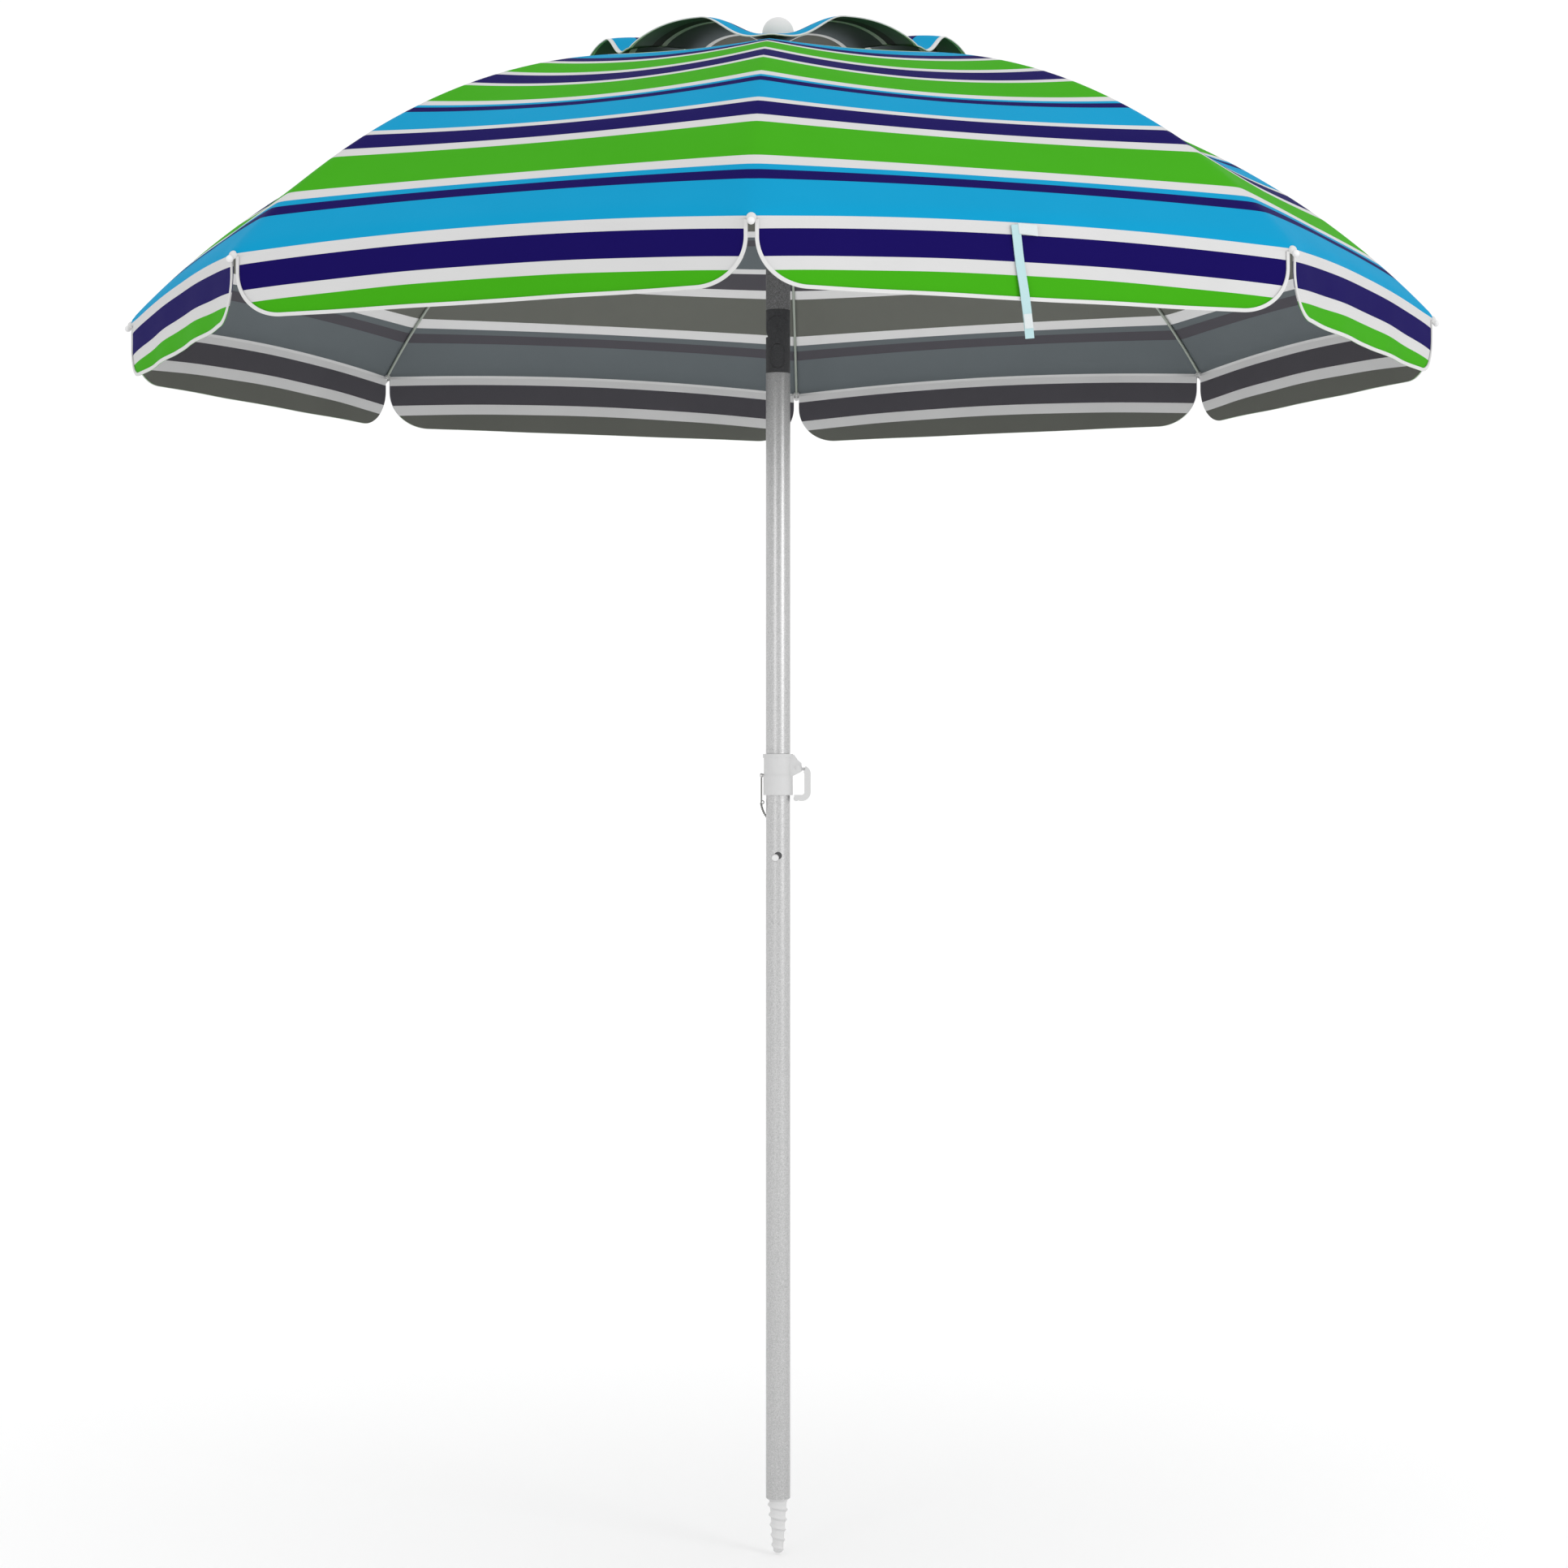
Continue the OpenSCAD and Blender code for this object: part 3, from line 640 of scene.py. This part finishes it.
def ring_grid(profile, turns=72):
    """A turned surface from a list of (radius, height) pairs."""
    p = np.array(profile, float)
    a = np.linspace(0, 2 * np.pi, turns, endpoint=False)
    return np.stack([p[:, :1] * np.cos(a), p[:, :1] * np.sin(a), np.repeat(p[:, 1:], turns, 1)], -1)


def turned_piece(name, grids, material, body, closed=True, sharp=35):
    """One object from grids that each close on themselves round an axis, their ends capped."""
    points, faces, start = [], [], 0
    for grid in grids:
        rows, cols = grid.shape[:2]
        points.append(grid.reshape(-1, 3))
        faces += quads(rows, cols, start, wrap=True).tolist()
        if closed:
            faces.append(list(range(start + cols - 1, start - 1, -1))[::-1])
            faces.append(list(range(start + (rows - 1) * cols, start + rows * cols))[::-1])
        start += rows * cols
    mesh = bpy.data.meshes.new(name)
    mesh.from_pydata((np.concatenate(points) * MM).tolist(), [], faces)
    mesh.polygons.foreach_set("use_smooth", np.ones(len(mesh.polygons), bool))
    mesh.set_sharp_from_angle(angle=math.radians(sharp))
    obj = bpy.data.objects.new(name, mesh)
    bpy.context.collection.objects.link(obj)
    obj.data.materials.append(material)
    if body:
        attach(obj, body)
    return obj


flange = ring_grid([(14.5, 4), (14.5, -0.2), (14.4, -1.4), (11.7, -3.4), (6, -3.4)])
spike = turned_piece("screw_spike", [flange, spike_grid()], PALE, "lower_pole", sharp=50)
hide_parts("ground_spike")
print("spike made:", len(spike.data.polygons), "faces")

# %% [markdown]
# ## Rib ends
# A small ball with a slim sleeve is pushed on the end of each rib. The sleeve runs under the cloth and is
# thinner than the gap between the rib and the cover.


# %% Rib ends
def rib_end_grid(radius=4.2, sleeve=2.2):
    """The ball and its sleeve, turned round the rib's own direction at its end."""
    a = np.linspace(0.06, 2.55, 16)
    ball_part = [(radius * math.sin(t), radius * math.cos(t)) for t in a]
    sleeve_part = [(sleeve, -4.4), (sleeve, -8.0), (1.7, -9.0)]
    grid = ring_grid(ball_part + sleeve_part, 32)
    along, across, up = grid[..., 2], grid[..., 0], grid[..., 1]
    x = RIM_R + along * math.cos(TIP_A) + up * math.sin(TIP_A)
    z = TIP_Z - along * math.sin(TIP_A) + up * math.cos(TIP_A)
    return np.stack([x, across, z], -1)


for k in RIBS:
    grid = turned(rib_end_grid(), rib_angle(k))
    end = turned_piece(f"rib_end_{k}", [grid], WHITE_MOULDED, f"rib_{k}", sharp=60)
    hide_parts(f"rib_tip_{k}")
print("rib ends made")

# %% [markdown]
# ## The chain of the locking pin
# Ball chain is stamped from strip: hollow beads snapped over short wires. It hangs from a ring on the pin's
# head and runs round the back of the tube to a rivet.


# %% Chain
def ball(centre, radius, rows=9, cols=14):
    """A sphere as a ring grid."""
    round_it = np.linspace(0, 2 * np.pi, cols, endpoint=False)
    a, b = np.meshgrid(np.linspace(0.05, np.pi - 0.05, rows), round_it, indexing="ij")
    return np.array(centre) + radius * np.stack([np.sin(a) * np.cos(b), np.sin(a) * np.sin(b), np.cos(a)], -1)


def wire(path, radius, cols=10):
    """A round wire along a path of points."""
    p = np.array(path, float)
    t = np.gradient(p, axis=0)
    t /= np.linalg.norm(t, axis=1, keepdims=True)
    n = np.cross(t, [0.31, 0.87, 0.17])
    n /= np.linalg.norm(n, axis=1, keepdims=True)
    b = np.cross(t, n)
    a = np.linspace(0, 2 * np.pi, cols, endpoint=False)
    return p[:, None] + radius * (np.cos(a)[:, None] * n[:, None] + np.sin(a)[:, None] * b[:, None])


BEADS = 14


def bead_at(i):
    """Centre of bead i: it falls steeply from the pin's ring, then runs round the back of the tube."""
    s = i / (BEADS - 1)
    a = np.radians(180 - 95 * s**1.7)
    r = 22.3 - 3.3 * np.minimum(1, 2 * s)
    return np.stack([r * np.cos(a), r * np.sin(a), 911.5 - 31 * s], -1)


beads = [ball(bead_at(i), 1.5) for i in range(BEADS)]
hang = np.linspace(0, 1, 14)[:, None] * np.array([0, 0, 33.0]) + np.array([-21.9, 0, 913.2])
loop_a = np.linspace(0.15, 2 * np.pi - 0.15, 26)
loop = np.stack([-20.6 - 1.9 * np.cos(loop_a), 0 * loop_a, 913.6 + 2.2 * np.sin(loop_a)], -1)
links = [wire(hang, 1.0), wire(loop, 0.6), wire(bead_at(np.linspace(0, BEADS - 1, 60)), 0.45)]
chain = turned_piece("ball_chain", beads + links, CHAIN, None, sharp=60)
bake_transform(chain)
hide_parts("pin_chain")
print("chain made:", len(beads), "beads")

# %% [markdown]
# ## The tie strap
# A narrow woven strap hangs from the rim between ribs 1 and 2 and closes the rolled cover. It is webbing with
# a tab sewn across its top and hook-and-loop patches, so it is a thin strip with a slight wave, not a bar.


# %% Strap
def strap_grid(w0, w1, z0, z1, out, rows=30, cols=5, rise=0.12):
    """Part of the strap, w across it and z down it: it leans with the rim's slope and waves gently."""
    z, w = np.meshgrid(np.linspace(z0, z1, rows), np.linspace(w0, w1, cols), indexing="ij")
    lean = math.radians(8)
    y = -18 + w * math.cos(lean) + z * math.sin(lean)
    up = TIP_Z + 14 - z * math.cos(lean) + w * rise
    x = 791.6 + out - 1.4 * np.sin(z / 19) * np.clip(z / 40, 0, 1)
    return np.stack([x, y, up], -1), np.stack([w, z], -1), False


def strap_piece(name, grid, thickness, material):
    """One layer of the strap, on the middle of the panel between ribs 1 and 2."""
    points, faces, uv = joined([grid])
    obj = mesh_object(name, turned(points, rib_angle(1) + 22.5), faces, uv)
    thickened(obj, thickness, material)
    folding(obj, 1)
    return obj


strap = strap_piece("strap", strap_grid(-5.3, 5.3, 0, 126, 0), 1.2, STRAP)
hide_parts("tie_strap")
tab = strap_piece("strap_tab", strap_grid(3, 26, -2, 10, 0.5, rise=-0.06), 2.0, HOOKS)
patch = strap_piece("strap_patch", strap_grid(-5.0, 5.0, 99, 115, 0.6), 0.6, HOOKS)
print("strap made")

# %% [markdown]
# ## Finishes of the designed parts
# Every part that came from the design keeps its shape and gets its finish by its slot.

# %% CAD finishes
FINISHES = [
    (POLE, ["lower_tube", "upper_tube"]),
    (MAST_PAINTED_SHADE, ["mast_tube"]),
    (JOINT, ["tilt_socket", "tilt_knuckle", "tilt_button", "tilt_pivot", "hub", "runner"]),
    (INSERT_PAINTED_SHADE, ["insert_tube"]),
    (PALE, ["collar", "lever_pin", "clamp_lever", "finial"]),
    (STEEL, ["locking_pin", "hub_wire", "runner_wire", "runner_catch", "tilt_spring"]),
    (WHITE_MOULDED, ["snap_button"]),
    (RIB, [f"rib_{k}" for k in RIBS] + [f"stretcher_{k}" for k in RIBS]),
]
for finish, names in FINISHES:
    for name in names:
        node = frame["nodes"][name]
        for part in [node] + [o for o in node.children_recursive if o.type == "MESH"]:
            if part.type == "MESH":
                if not part.material_slots:
                    part.data.materials.append(finish)
                for s in part.material_slots:
                    s.link = "OBJECT"
                    s.material = finish
print("finishes set on", sum(len(names) for _, names in FINISHES), "parts")

# %% [markdown]
# ## Stage
# A pale floor that curves away behind, a white room and two large soft lamps in front, as in a plain studio.


# %% Floor, light and camera
def floor():
    """A big pale floor that turns up into a wall far behind."""
    s = np.linspace(0, 1, 40)
    y = np.interp(s, [0, 0.6, 1], [-9000, 5000, 7600])
    z = np.interp(s, [0, 0.6, 1], [-75, -75, 5200])
    x = np.linspace(-9000, 9000, 3)
    grid = np.stack(np.broadcast_arrays(x[None, :], y[:, None], z[:, None]), -1)
    obj = mesh_object("studio_floor", grid.reshape(-1, 3), quads(*grid.shape[:2]), sharp=180)
    f = Finish("studio paper")
    obj.data.materials.append(f.done(Base_Color=(0.9, 0.9, 0.9), Roughness=0.9))


def lamp(name, place, aim, size, power):
    """A square soft lamp aimed at a point."""
    data = bpy.data.lights.new(name, "AREA")
    data.size, data.energy = size, power
    obj = bpy.data.objects.new(name, data)
    obj.location = place
    obj.rotation_euler = (Vector(aim) - Vector(place)).to_track_quat("-Z", "Y").to_euler()
    bpy.context.collection.objects.link(obj)


floor()
lamp("key lamp", (3.4, -3.2, 2.2), (0, 0, 1.3), 1.6, 42)
lamp("fill lamp", (-2.2, -4.6, 2.0), (0, 0, 1.2), 1.2, 16)
world = bpy.data.worlds.new("studio")
world.use_nodes = True
world.node_tree.nodes["Background"].inputs[0].default_value = (1, 1, 1, 1)
world.node_tree.nodes["Background"].inputs[1].default_value = 1.15
bpy.context.scene.world = world
bpy.context.scene.view_settings.view_transform = "Standard"

TURN = math.radians(1.82)
camera = bpy.data.objects.new("camera", bpy.data.cameras.new("camera"))
camera.data.lens, camera.data.sensor_width = 80.08, 36
camera.data.clip_end = 60
across, back, height = 0.0078, 4.584, 0.9376  # metres from the pole's axis and its foot
camera.location = (
    across * math.cos(TURN) + back * math.sin(TURN),
    across * math.sin(TURN) - back * math.cos(TURN),
    height,
)
camera.rotation_euler = (math.pi / 2, 0, TURN)
bpy.context.collection.objects.link(camera)
bpy.context.scene.camera = camera
print("stage set")
